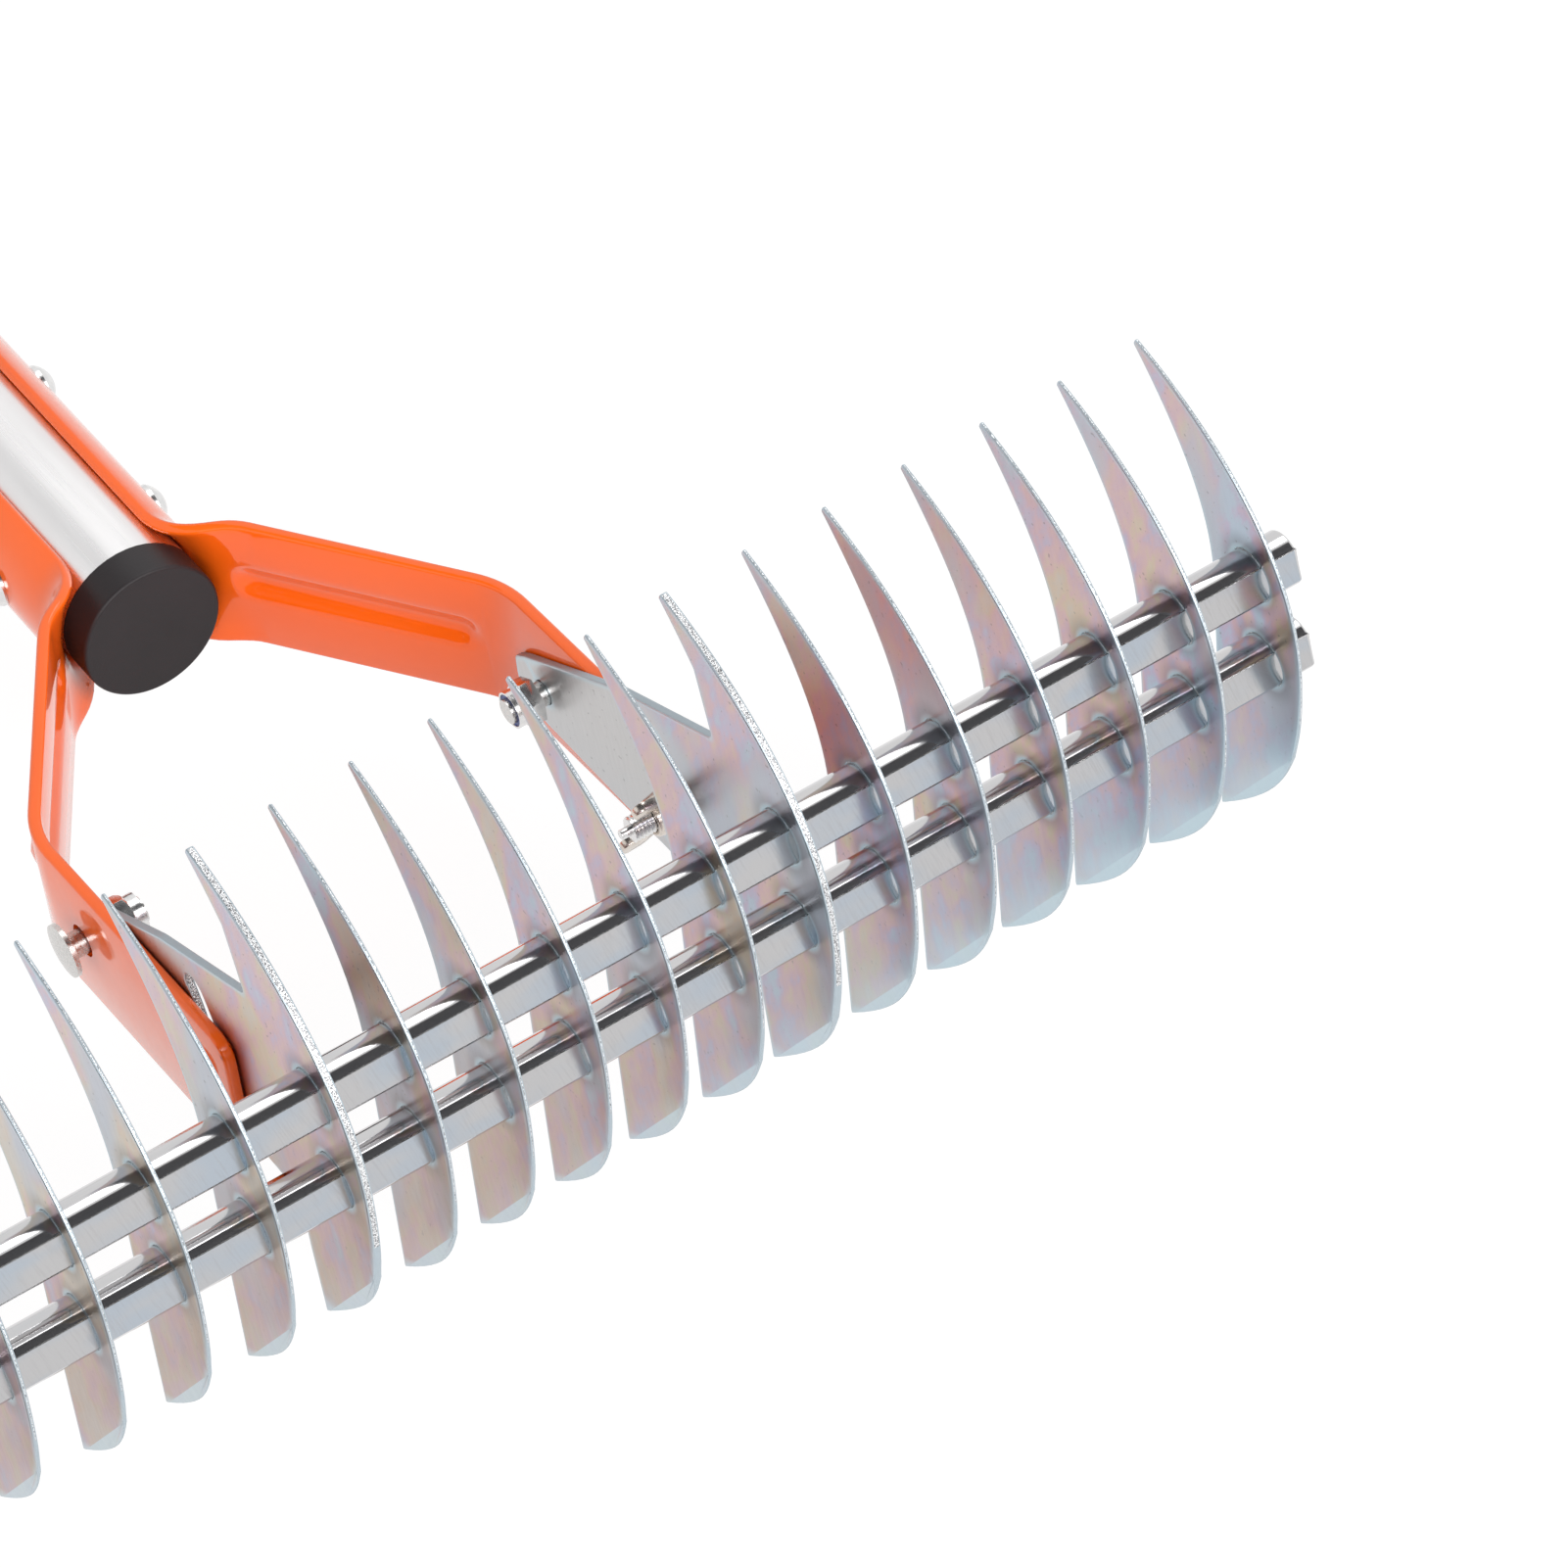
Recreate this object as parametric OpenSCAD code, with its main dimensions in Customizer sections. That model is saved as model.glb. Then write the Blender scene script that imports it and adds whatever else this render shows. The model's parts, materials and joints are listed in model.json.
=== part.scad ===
// Thatch rake: a row of crescent blades on two flatted rods, carried by two ear blades
// between the arms of a pressed fork, with a tube handle and a wing nut on each side.
// The rake is drawn with the handle's axis along +Y and the pivot over the origin, then laid
// on the floor, where it rests on the heels of the blades and on the end of the grip.

/* [Blade row] */
// Spacing of the blades between the two ear blades
inner_pitch = 19.3; // [17:0.1:22]
// Spacing of the blades outside the ear blades
outer_pitch = 20.4; // [16:0.1:24]
// Sheet thickness of a plain blade
blade_thick = 1; // [0.8:0.1:1.6]
// Sheet thickness of an ear blade
ear_thick = 2; // [1.6:0.1:2.4]
// Height of a blade's point above the middle of its upper rod hole
point_height = 41; // [34:1:48]
// Length of a blade below the middle of its upper rod hole
heel_depth = 84; // [76:1:92]
// Width of the ground facet along the heel of a blade
facet_width = 3; // [2:0.5:3.5]

/* [Rods] */
// Diameter of the rods through the blades
rod_dia = 13; // [11:0.5:14]
// Depth of the flat along each rod
rod_flat = 1.3; // [0.8:0.1:2.5]
// Distance between the rod centres
rod_spacing = 23.4; // [21:0.2:26]
// Length of rod outside the last blade
rod_overhang = 9; // [5:1:20]

/* [Pivot] */
// Distance of the upper rod in front of the pivot
rod_forward = 99.5; // [96:0.5:106]
// Height of the upper rod above the pivot
rod_rise = 36.5; // [33:0.5:38]
// Distance of the lock bolt from the pivot
lock_radius = 54.7; // [50:0.1:57]
// Height angle of the lock bolt as seen from the pivot
lock_angle = 8.5; // [6:0.5:11]
// Angle of the slot above the lock bolt
slot_up = 18; // [12:1:18]
// Angle of the slot below the lock bolt
slot_down = 12; // [8:1:13]
// Diameter of the pivot bolts and the lock bolts
bolt_dia = 6; // [5:0.5:6.5]
// Room between a lock nut and its ear, which leaves the pivot bolt free to shift
nut_stand = 2.5; // [0.3:0.1:5]

/* [Fork] */
// Height of the pivot above the axis of the handle
fork_rise = 5; // [0:0.5:8]
// Thickness of the pressed fork arms
arm_thick = 3; // [2:0.25:3.5]
// Width of the strip that an arm is pressed from
arm_width = 37; // [32:1:40]
// Distance of the flare's inner bend behind the pivot
flare_back = 87; // [86:1:96]
// Distance of the flare's outer bend behind the pivot
flare_front = 19; // [12:1:26]
// Height of the pressed rib in the flare
rib_height = 2.2; // [1:0.2:3]
// Width of the pressed rib in the flare
rib_width = 12; // [9:0.5:14]
// Distance of an arm's front end before the pivot
arm_front = 65; // [62:1:72]
// Distance of an arm's rear end behind the pivot
arm_rear = 194; // [186:1:210]

/* [Handle] */
// Diameter of the handle tube
tube_dia = 35; // [32:0.5:36]
// Wall of the handle tube
tube_wall = 1.2; // [1:0.1:2]
// Distance of the end cap's face behind the pivot
cap_back = 77; // [77:0.5:81]
// Length of the end cap's head in front of the tube
cap_length = 10; // [6:0.5:10]
// Length of one tube of the handle
section_length = 415; // [360:5:460]
// Length of a tube's reduced end inside the next tube
spigot_length = 60; // [40:5:90]
// Length of the hand grip
grip_length = 240; // [160:5:300]
// Wall of the hand grip
grip_wall = 2; // [1.5:0.25:3]
// Diameter of the hole for hanging the rake up
hang_dia = 8; // [5:0.5:10]

/* [Fits] */
// Side room between pieces that turn against each other
turn_gap = 0.3; // [0.2:0.05:0.4]
// Radial room of a bolt in a hole that it turns in
turn_fit = 0.08; // [0.05:0.01:0.1]
// Radial room of a piece that is pushed on or pushed in
push_fit = 0.05; // [0.03:0.01:0.1]

/* [Hidden] */
$fn = 64;

// Colours of the finishes
zinc = [0.80, 0.80, 0.84];
bright_zinc = [0.86, 0.87, 0.88];
paint = [0.93, 0.33, 0.06];
stainless = [0.72, 0.72, 0.73];
nickel = [0.80, 0.76, 0.70];
black_plastic = [0.10, 0.10, 0.11];
black_rubber = [0.06, 0.06, 0.06];
blue_nylon = [0.10, 0.25, 0.60];

// The third blade from the middle carries the ear on each side
ear_index = 3;
last_index = 9;
ear_x = ear_index * inner_pitch;
last_x = ear_x + (last_index - ear_index) * outer_pitch;
function blade_x(i) = sign(i) * (min(abs(i), ear_index) * inner_pitch
    + max(abs(i) - ear_index, 0) * outer_pitch);

// Pivot and rod places in the plane of a blade
rod_line = 8.6;
pivot = [0, fork_rise];
upper_rod = pivot + [-rod_forward, rod_rise];
lower_rod = upper_rod - rod_spacing * [sin(rod_line), cos(rod_line)];
rod_r = rod_dia / 2;
flat_turn = 16;

// Faces on the two sides of an ear blade and of the arm beside it
ear_inside = ear_x - ear_thick / 2;
ear_outside = ear_x + ear_thick / 2;
arm_inside = ear_outside + turn_gap;
arm_outside = arm_inside + arm_thick;
lock_place = pivot + lock_radius * [-cos(lock_angle), sin(lock_angle)];
bolt_r = bolt_dia / 2;
slot_half = bolt_r + 0.9;

// Handle lengths along Y
tube_r = tube_dia / 2;
tube_start = cap_back + cap_length;
joint_1 = tube_start + section_length;
joint_2 = joint_1 + section_length;
tube_end = joint_2 + section_length;
grip_r = tube_r + grip_wall + push_fit;
plug_length = 26;
handle_end = tube_end + plug_length;
bore_r = tube_r - tube_wall;

// The rake lies on the heels of the blades and on the rear rim of the grip
heel = upper_rod + [15.4, -heel_depth];
rest_tilt = -atan2(-grip_r - heel[1], tube_end - heel[0]);
floor_z = heel[0] * sin(rest_tilt) + heel[1] * cos(rest_tilt);
front_y = upper_rod[0] - 16.5;
middle_y = (handle_end + front_y) / 2;

module laid_down() {
    translate([0, -middle_y, -floor_z])
        rotate([rest_tilt, 0, 0])
            children();
}

// Curves for the outlines
function bezier(p, t) = pow(1 - t, 3) * p[0] + 3 * t * pow(1 - t, 2) * p[1]
    + 3 * t * t * (1 - t) * p[2] + pow(t, 3) * p[3];
function curve(p, first, last, steps) =
    [for (i = [0:steps]) bezier(p, first + (last - first) * i / steps)];
function unit(v) = v / norm(v);
function round_corner(a, b, c, r, steps) =
    r == 0 ? [b] :
    let (u = unit(a - b))
    let (w = unit(c - b))
    let (half = acos(u * w) / 2)
    let (middle = b + unit(u + w) * r / sin(half))
    let (from = b + u * r / tan(half) - middle)
    let (to = b + w * r / tan(half) - middle)
    [for (i = [0:steps]) middle + r * unit(from * (1 - i / steps) + to * i / steps)];
function rounded(p, radii) = let (n = len(p))
    [for (i = [0:n - 1]) each round_corner(p[(i + n - 1) % n], p[i], p[(i + 1) % n], radii[i], 8)];

// A flat outline in Y and Z becomes a sheet that is centred on x
module sheet(x, thick) {
    translate([x - thick / 2, 0, 0])
        rotate([90, 0, 90])
            linear_extrude(thick)
                children();
}

// A round bar along X through a point in Y and Z
module bar_x(place, r, from, to) {
    translate([from, place[0], place[1]])
        rotate([0, 90, 0])
            cylinder(r = r, h = to - from);
}

// A round bar along Y on the axis of the handle
module bar_y(r, from, to) {
    translate([0, to, 0])
        rotate([90, 0, 0])
            cylinder(r = r, h = to - from);
}

// A profile of radius and distance turned about an axis along X, with its base at x = 0
module turned_x() {
    rotate([0, 90, 0])
        rotate_extrude()
            children();
}

// Blade outline, measured from the upper rod hole
tip_front = [39.2, point_height];
tip_back = [39.9, point_height - 1.4];
brow = [-16.4, -20];
heel_point = [15.4, -heel_depth];
back_top = [14.2, -12];
horn_front = [tip_front, [14, point_height - 6.7], [-17, 17], brow];
heel_curve = [brow, [-16, -44], [-11, 22 - heel_depth], heel_point];
horn_back = [back_top, [13.8, 8], [24, 24], tip_back];

// The horn of an ear is wider below this place on its back, down to the notch
notch_at = 0.74;
notch = bezier(horn_back, 0.4) + [6.1, -0.7];
pivot_from_hole = [rod_forward, -rod_rise];
ear_root = pivot_from_hole + [-82, -10.5];

module plain_outline() {
    polygon(concat(
        curve(horn_front, 0, 1, 22),
        curve(heel_curve, 0.05, 0.985, 18),
        [heel_point, heel_point + [0.2, 1]],
        curve(horn_back, 0, 1, 18)));
}

module ear_outline() {
    ear_edge = rounded(
        [ear_root + [-0.4, -16], ear_root, pivot_from_hole + [1, -10.5],
            pivot_from_hole + [11.4, -6], pivot_from_hole + [11.4, 3],
            pivot_from_hole + [6.6, 6.2], pivot_from_hole + [-35.5, 29.4], notch,
            bezier(horn_back, notch_at)],
        [0, 8, 5, 6, 2.5, 4, 30, 2, 0]);
    polygon(concat(
        curve(horn_front, 0, 1, 22),
        curve(heel_curve, 0.05, 0.985, 18),
        [heel_point, heel_point + [0.2, 1]],
        ear_edge,
        curve(horn_back, notch_at + 0.03, 1, 12)));
}

// The facet is ground on the left face, from a straight line out to the heel's edge
facet_from = [13, 2.5 - heel_depth];
facet_to = [-13.6, 38.3 - heel_depth];
facet_dir = facet_to - facet_from;
module facet_cutter(x, thick) {
    lean = atan2(0.8 * thick, facet_width);
    translate([x - thick / 2, facet_from[0], facet_from[1]])
        rotate([atan2(facet_dir[1], facet_dir[0]), 0, 0])
            rotate([0, lean, 0])
                translate([-4, -20, 0])
                    cube([4, 90, 30]);
}

module rod_holes(x, thick) {
    bar_x([0, 0], rod_r + push_fit, x - thick, x + thick);
    bar_x(lower_rod - upper_rod, rod_r + push_fit, x - thick, x + thick);
}

module plain_blade(i) {
    x = blade_x(i);
    color(zinc)
        laid_down()
            translate([0, upper_rod[0], upper_rod[1]])
                difference() {
                    sheet(x, blade_thick)
                        plain_outline();
                    rod_holes(x, blade_thick);
                    facet_cutter(x, blade_thick);
                }
}

// An arc slot about the pivot lets the lock bolt hold the head at any tilt
module tilt_slot(x, thick) {
    first = 180 - lock_angle - slot_up;
    sweep = slot_up + slot_down;
    rotate([90, 0, 90])
        translate([0, 0, x - thick]) {
            rotate([0, 0, first])
                rotate_extrude(angle = sweep)
                    translate([lock_radius - slot_half, 0])
                        square([2 * slot_half, 2 * thick]);
            for (a = [first, first + sweep])
                rotate([0, 0, a])
                    translate([lock_radius, 0, 0])
                        cylinder(r = slot_half, h = 2 * thick);
        }
}

module ear_blade(side) {
    x = side * ear_x;
    color(zinc)
        laid_down()
            difference() {
                translate([0, upper_rod[0], upper_rod[1]])
                    difference() {
                        sheet(x, ear_thick)
                            ear_outline();
                        rod_holes(x, ear_thick);
                        facet_cutter(x, ear_thick);
                    }
                bar_x(pivot, bolt_r + turn_fit, x - ear_thick, x + ear_thick);
                translate([0, pivot[0], pivot[1]])
                    tilt_slot(x, ear_thick);
            }
}

// A rod is a round bar with one flat that faces forward and a little up
module flatted_rod(place) {
    reach = last_x + rod_overhang;
    color(bright_zinc)
        laid_down()
            difference() {
                bar_x(place, rod_r, -reach, reach);
                translate([0, place[0], place[1]])
                    rotate([-flat_turn, 0, 0])
                        translate([-reach - 1, -2 * rod_r + rod_flat - rod_r, -rod_r - 1])
                            cube([2 * reach + 2, 2 * rod_r, 2 * rod_r + 2]);
            }
}

// Path of an arm's middle surface, from its rear end to its front end
channel_mid = tube_r + push_fit + arm_thick / 2;
end_mid = arm_inside + arm_thick / 2;
flare_turn = atan2(end_mid - channel_mid, flare_back - flare_front);
bend_1 = 20;
bend_2 = 27;
tangent_1 = bend_1 * tan(flare_turn / 2);
tangent_2 = bend_2 * tan(flare_turn / 2);
flare_length = norm([end_mid - channel_mid, flare_back - flare_front]) - tangent_1 - tangent_2;
s_1 = arm_rear - flare_back - tangent_1;
s_2 = s_1 + bend_1 * flare_turn * PI / 180;
s_3 = s_2 + flare_length;
s_4 = s_3 + bend_2 * flare_turn * PI / 180;
s_end = s_4 + flare_front - tangent_2 + arm_front;
flare_start = [channel_mid + bend_1 * (1 - cos(flare_turn)),
    flare_back + tangent_1 - bend_1 * sin(flare_turn)];
flare_stop = flare_start + flare_length * [sin(flare_turn), -cos(flare_turn)];

function heading(s) =
    s < s_1 ? 0 :
    s < s_2 ? (s - s_1) / bend_1 * 180 / PI :
    s < s_3 ? flare_turn :
    s < s_4 ? flare_turn - (s - s_3) / bend_2 * 180 / PI : 0;
function path(s) =
    s < s_1 ? [channel_mid, arm_rear - s] :
    s < s_2 ? [channel_mid + bend_1 * (1 - cos(heading(s))),
        flare_back + tangent_1 - bend_1 * sin(heading(s))] :
    s < s_3 ? flare_start + (s - s_2) * [sin(flare_turn), -cos(flare_turn)] :
    s < s_4 ? flare_stop + bend_2 * [cos(heading(s)) - cos(flare_turn),
        sin(heading(s)) - sin(flare_turn)] :
    [end_mid, flare_front - tangent_2 - (s - s_4)];

// The channel that hugs the tube opens out to a flat strip over the first bend
open_from = s_1 - 4;
open_to = s_2 + 9;
function hug(s) = s <= open_from ? 1 : s >= open_to ? 0 :
    0.5 + 0.5 * cos(180 * (s - open_from) / (open_to - open_from));

// Half width of the strip, with round corners at the front end
end_round = 6;
function half_width(s) = s < s_end - end_round ? arm_width / 2 :
    arm_width / 2 - end_round
    + sqrt(max(0, pow(end_round, 2) - pow(s - s_end + end_round, 2)));

// The rib is pressed outward along the flare, with round ends
rib_half = rib_width / 2;
rib_from = s_2 + 2 + rib_half;
rib_to = s_3 + 1.5 - rib_half;
rib_end = rib_to + rib_half;
function rib(s, a) =
    let (r = norm([max(rib_from - s, s - rib_to, 0), a - 1]))
    r < rib_half ? rib_height * (0.5 + 0.5 * cos(180 * r / rib_half)) : 0;

// In front of the first bend the strip climbs from the handle's axis to the pivot
function climb(s) = fork_rise * max(0, 1 - path(s)[1] / flare_back);

// One point of the arm: s along it, a across it, side +1 on the outer face and -1 inside
function arm_point(s, a, side) =
    let (h = heading(s))
    let (k = hug(s) / channel_mid)
    let (turn = k * a * 180 / PI)
    let (drop = k < 0.0001 ? 0 : (1 - cos(turn)) / k)
    let (z = k < 0.0001 ? a : sin(turn) / k)
    let (out = rib(s, a) - drop + side * arm_thick / 2 * cos(turn))
    let (p = path(s))
    [p[0] + out * cos(h), p[1] + out * sin(h), climb(s) + z + side * arm_thick / 2 * sin(turn)];

// Sections along the arm are closer where it bends, opens out, has its rib or ends
stations = concat(
    [0],
    [for (i = [0:48]) open_from + (rib_end - open_from) * i / 48],
    [for (i = [1:8]) rib_end + (s_4 - rib_end) * i / 8],
    [s_end - end_round - 12],
    [for (i = [0:7]) s_end - end_round + end_round * sin(90 * i / 7)]);
across_half = [0.08, 0.15, 0.22, 0.28, 0.34, 0.44, 0.58, 0.72, 0.86, 1];
across = concat([for (i = [9:-1:0]) -across_half[i]], [0], across_half);

module arm_strip() {
    n = len(across);
    m = len(stations);
    outer = function (j, i) j * 2 * n + i;
    inner = function (j, i) j * 2 * n + n + i;
    points = [for (s = stations) each concat(
        [for (f = across) arm_point(s, f * half_width(s), 1)],
        [for (f = across) arm_point(s, f * half_width(s), -1)])];
    skin = [for (j = [0:m - 2]) for (i = [0:n - 2]) each [
        [outer(j, i), outer(j + 1, i), outer(j + 1, i + 1)],
        [outer(j, i), outer(j + 1, i + 1), outer(j, i + 1)],
        [inner(j, i), inner(j + 1, i + 1), inner(j + 1, i)],
        [inner(j, i), inner(j, i + 1), inner(j + 1, i + 1)]]];
    rims = [for (j = [0:m - 2]) each [
        [outer(j, 0), inner(j, 0), inner(j + 1, 0)],
        [outer(j, 0), inner(j + 1, 0), outer(j + 1, 0)],
        [outer(j, n - 1), inner(j + 1, n - 1), inner(j, n - 1)],
        [outer(j, n - 1), outer(j + 1, n - 1), inner(j + 1, n - 1)]]];
    ends = [for (i = [0:n - 2]) each [
        [outer(0, i), outer(0, i + 1), inner(0, i + 1)],
        [outer(0, i), inner(0, i + 1), inner(0, i)],
        [outer(m - 1, i), inner(m - 1, i + 1), outer(m - 1, i + 1)],
        [outer(m - 1, i), inner(m - 1, i), inner(m - 1, i + 1)]]];
    polyhedron(points, concat(skin, rims, ends), 10);
}

rivet_r = 2.5;
rivet_places = [113, 165];
module fork_arm() {
    color(paint)
        difference() {
            arm_strip();
            bar_x(pivot, bolt_r + push_fit, arm_inside - 2, arm_outside + 2);
            bar_x(pivot, bolt_r + 1, arm_outside - arm_thick / 2, arm_outside + 2);
            bar_x(lock_place, bolt_r + push_fit, arm_inside - 2, arm_outside + 2);
            for (y = rivet_places)
                bar_x([y, 0], rivet_r + push_fit, 0, 30);
        }
}

module fork_arm_right() {
    laid_down()
        fork_arm();
}

module fork_arm_left() {
    laid_down()
        mirror([1, 0, 0])
            fork_arm();
}

// Each rivet holds both arms on the tube and has a domed head on both sides
module fork_rivets() {
    seat = tube_r + push_fit + arm_thick;
    head_r = 5.2;
    color(bright_zinc)
        laid_down()
            for (y = rivet_places)
                difference() {
                    translate([0, y, 0])
                        union() {
                            bar_x([0, 0], rivet_r, -seat, seat);
                            for (side = [0, 1])
                                mirror([side, 0, 0])
                                    translate([seat - 1, 0, 0])
                                        turned_x()
                                            intersection() {
                                                translate([0, -1.4])
                                                    circle(r = 6);
                                                square([head_r, 10]);
                                            }
                        }
                    rotate([-90, 0, 0])
                        translate([0, 0, y - 8])
                            difference() {
                                cylinder(r = seat + push_fit, h = 16);
                                translate([0, 0, 8])
                                    rotate([0, 90, 0])
                                        cylinder(r = rivet_r, h = 3 * seat, center = true);
                            }
                }
}

// Carriage bolt through arm and ear, its head standing off the arm
pivot_stand = 4;
nut_height = 3.8;
collar_height = 2.6;
module pivot_bolt(side) {
    head_r = 6.4;
    head_curve = 24;
    tail = ear_inside - nut_stand - nut_height - collar_height - 0.8;
    color(bright_zinc)
        laid_down()
            translate([0, pivot[0], pivot[1]])
                mirror([side < 0 ? 1 : 0, 0, 0])
                    union() {
                        bar_x([0, 0], bolt_r, tail, arm_outside + pivot_stand + 0.5);
                        translate([arm_outside + pivot_stand, 0, 0])
                            turned_x()
                                intersection() {
                                    translate([0, 2 - head_curve])
                                        circle(r = head_curve);
                                    square([head_r, 5]);
                                }
                    }
}

// Lock nut: hexagon towards the ear, round collar with a nylon ring at its mouth
nut_flats = 10;
collar_r = 4.5;
ring_depth = 1.6;
module pivot_nut(side) {
    seat = ear_inside - nut_stand;
    mouth = seat - nut_height - collar_height;
    color(bright_zinc)
        laid_down()
            translate([0, pivot[0], pivot[1]])
                mirror([side < 0 ? 1 : 0, 0, 0])
                    difference() {
                        union() {
                            intersection() {
                                translate([seat - nut_height, 0, 0])
                                    rotate([0, 90, 0])
                                        cylinder(r = nut_flats / 2 / cos(30), h = nut_height, $fn = 6);
                                translate([seat - nut_height, 0, 0])
                                    rotate([0, 90, 0])
                                        cylinder(r1 = nut_flats / 2, r2 = nut_flats / 2 + 5, h = 5);
                            }
                            bar_x([0, 0], collar_r, mouth, seat - nut_height + 0.5);
                        }
                        bar_x([0, 0], bolt_r + push_fit, seat - 20, seat + 5);
                        bar_x([0, 0], collar_r - 0.5, seat - 20, mouth + ring_depth);
                    }
}

module nut_insert(side) {
    mouth = ear_inside - nut_stand - nut_height - collar_height;
    color(blue_nylon)
        laid_down()
            translate([0, pivot[0], pivot[1]])
                mirror([side < 0 ? 1 : 0, 0, 0])
                    difference() {
                        bar_x([0, 0], collar_r - 0.5 - push_fit, mouth + 0.3, mouth + ring_depth - push_fit);
                        bar_x([0, 0], bolt_r + push_fit, mouth - 5, mouth + 5);
                    }
}

// Lock bolt: low domed head on the arm, thread through the slot, small pin at its end
lock_reach = 14;
pin_length = 2.4;
module lock_bolt(side) {
    tail = ear_inside - lock_reach;
    color(bright_zinc)
        laid_down()
            mirror([side < 0 ? 1 : 0, 0, 0])
                translate([0, lock_place[0], lock_place[1]])
                    union() {
                        bar_x([0, 0], bolt_r, tail + pin_length, arm_outside + 0.5);
                        bar_x([0, 0], 1.15, tail, tail + pin_length + 0.5);
                        translate([arm_outside, 0, 0])
                            turned_x()
                                intersection() {
                                    translate([0, -4.2])
                                        circle(r = 6.9);
                                    square([5.4, 10]);
                                }
                    }
}

// Wing nut: conical hub with two rising wings
hub_height = 6;
wing_span = 12.5;
wing_turn = 115;
module wing_nut(side) {
    seat = ear_inside - turn_gap;
    hub = [[0, 0], [5.3, 0], [5.3, 0.8], [4.3, hub_height], [0, hub_height]];
    color(nickel)
        laid_down()
            mirror([side < 0 ? 1 : 0, 0, 0])
                translate([seat, lock_place[0], lock_place[1]])
                    rotate([wing_turn, 0, 0])
                        mirror([1, 0, 0])
                            difference() {
                                union() {
                                    turned_x()
                                        polygon(hub);
                                    for (turn = [0, 180])
                                        rotate([turn, 0, 0])
                                            wing();
                                }
                                bar_x([0, 0], bolt_r + turn_fit, -1, hub_height + 1);
                            }
}

module wing() {
    outline = rounded(
        [[bolt_r + 0.8, 0.8], [5.6, 0.8], [wing_span - 1, 6.2], [wing_span, 12],
            [wing_span - 5, 12], [5.8, hub_height], [bolt_r + 0.8, hub_height]],
        [0, 2, 3, 2.4, 2.4, 3, 0]);
    mirror([1, 0, 0])
        rotate([0, 0, 90])
            translate([0, 0, -1])
                linear_extrude(2)
                    polygon(outline);
}

// Handle: three tubes, each but the last with a reduced end inside the next one
module tube(from, to) {
    difference() {
        bar_y(tube_r, from, to);
        bar_y(bore_r, from - 1, to + 1);
    }
}

module spigot(at) {
    difference() {
        union() {
            bar_y(tube_r, at - 6, at);
            bar_y(bore_r - push_fit, at - 1, at + spigot_length);
        }
        bar_y(bore_r - tube_wall, at - 7, at + spigot_length + 1);
        translate([0, at + spigot_length / 2, 0])
            cylinder(r = screw_r + push_fit, h = tube_dia, center = true);
    }
}

screw_r = 2;
module handle_tube_lower() {
    color(stainless)
        laid_down()
            difference() {
                union() {
                    tube(tube_start, joint_1);
                    spigot(joint_1);
                }
                for (y = rivet_places)
                    bar_x([y, 0], rivet_r + push_fit, -30, 30);
            }
}

module handle_tube_middle() {
    color(stainless)
        laid_down()
            difference() {
                union() {
                    tube(joint_1, joint_2);
                    spigot(joint_2);
                }
                translate([0, joint_1 + spigot_length / 2, 0])
                    cylinder(r = screw_r + push_fit, h = 2 * tube_dia, center = true);
            }
}

module handle_tube_upper() {
    color(stainless)
        laid_down()
            difference() {
                tube(joint_2, tube_end);
                translate([0, joint_2 + spigot_length / 2, 0])
                    cylinder(r = screw_r + push_fit, h = 2 * tube_dia, center = true);
            }
}

// One round-headed cross screw holds each tube joint
module handle_joint_screws() {
    color(bright_zinc)
        laid_down()
            for (y = [joint_1, joint_2])
                translate([0, y + spigot_length / 2, 0])
                    union() {
                        translate([0, 0, -tube_r - 2])
                            cylinder(r = screw_r, h = tube_dia + 2.5);
                        translate([0, 0, tube_r])
                            rotate_extrude()
                                intersection() {
                                    translate([0, -2.2])
                                        circle(r = 4.6);
                                    square([4, 10]);
                                }
                    }
}

// Soft grip pushed over the end of the upper tube, with shallow finger grooves
groove_count = 9;
module hand_grip() {
    from = tube_end - grip_length;
    groove_pitch = (grip_length - 40) / groove_count;
    color(black_rubber)
        laid_down()
            difference() {
                union() {
                    bar_y(grip_r, from + 3, tube_end);
                    translate([0, from + 3, 0])
                        rotate([90, 0, 0])
                            cylinder(r1 = grip_r, r2 = grip_r - 1.4, h = 3);
                }
                bar_y(tube_r + push_fit, from - 1, tube_end + 1);
                for (i = [0:groove_count])
                    translate([0, from + 20 + i * groove_pitch, 0])
                        rotate([90, 0, 0])
                            rotate_extrude()
                                translate([grip_r + 1.6, 0])
                                    circle(r = 2.5);
            }
}

// Plug in the end of the upper tube, with a cross hole to hang the rake up by
module grip_end_plug() {
    color(black_plastic)
        laid_down()
            difference() {
                union() {
                    bar_y(bore_r - push_fit, tube_end - 30, tube_end + 1);
                    translate([0, tube_end + push_fit, 0])
                        rotate([-90, 0, 0])
                            rotate_extrude()
                                polygon(rounded(
                                    [[0, 0], [grip_r - 0.5, 0], [grip_r - 2, plug_length - push_fit],
                                        [0, plug_length - push_fit]],
                                    [0, 1.5, 9, 0]));
                }
                bar_x([tube_end + 13, 0], hang_dia / 2, -30, 30);
            }
}

// End cap: a head as wide as the tube, with a hollow plug that is pushed into it
plug_wall = 2;
module tube_end_cap() {
    head = [[0, 0], [tube_r + 0.1, 0], [tube_r + 0.1, cap_length - push_fit], [0, cap_length - push_fit]];
    color(black_plastic)
        laid_down()
            difference() {
                union() {
                    translate([0, cap_back, 0])
                        rotate([-90, 0, 0])
                            rotate_extrude()
                                polygon(rounded(head, [0, 0.8, 0.3, 0]));
                    bar_y(bore_r - push_fit, tube_start - 1, tube_start + 18);
                }
                bar_y(bore_r - push_fit - plug_wall, cap_back + 3, tube_start + 20);
            }
}

module pivot_bolt_left() {
    pivot_bolt(-1);
}

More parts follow.
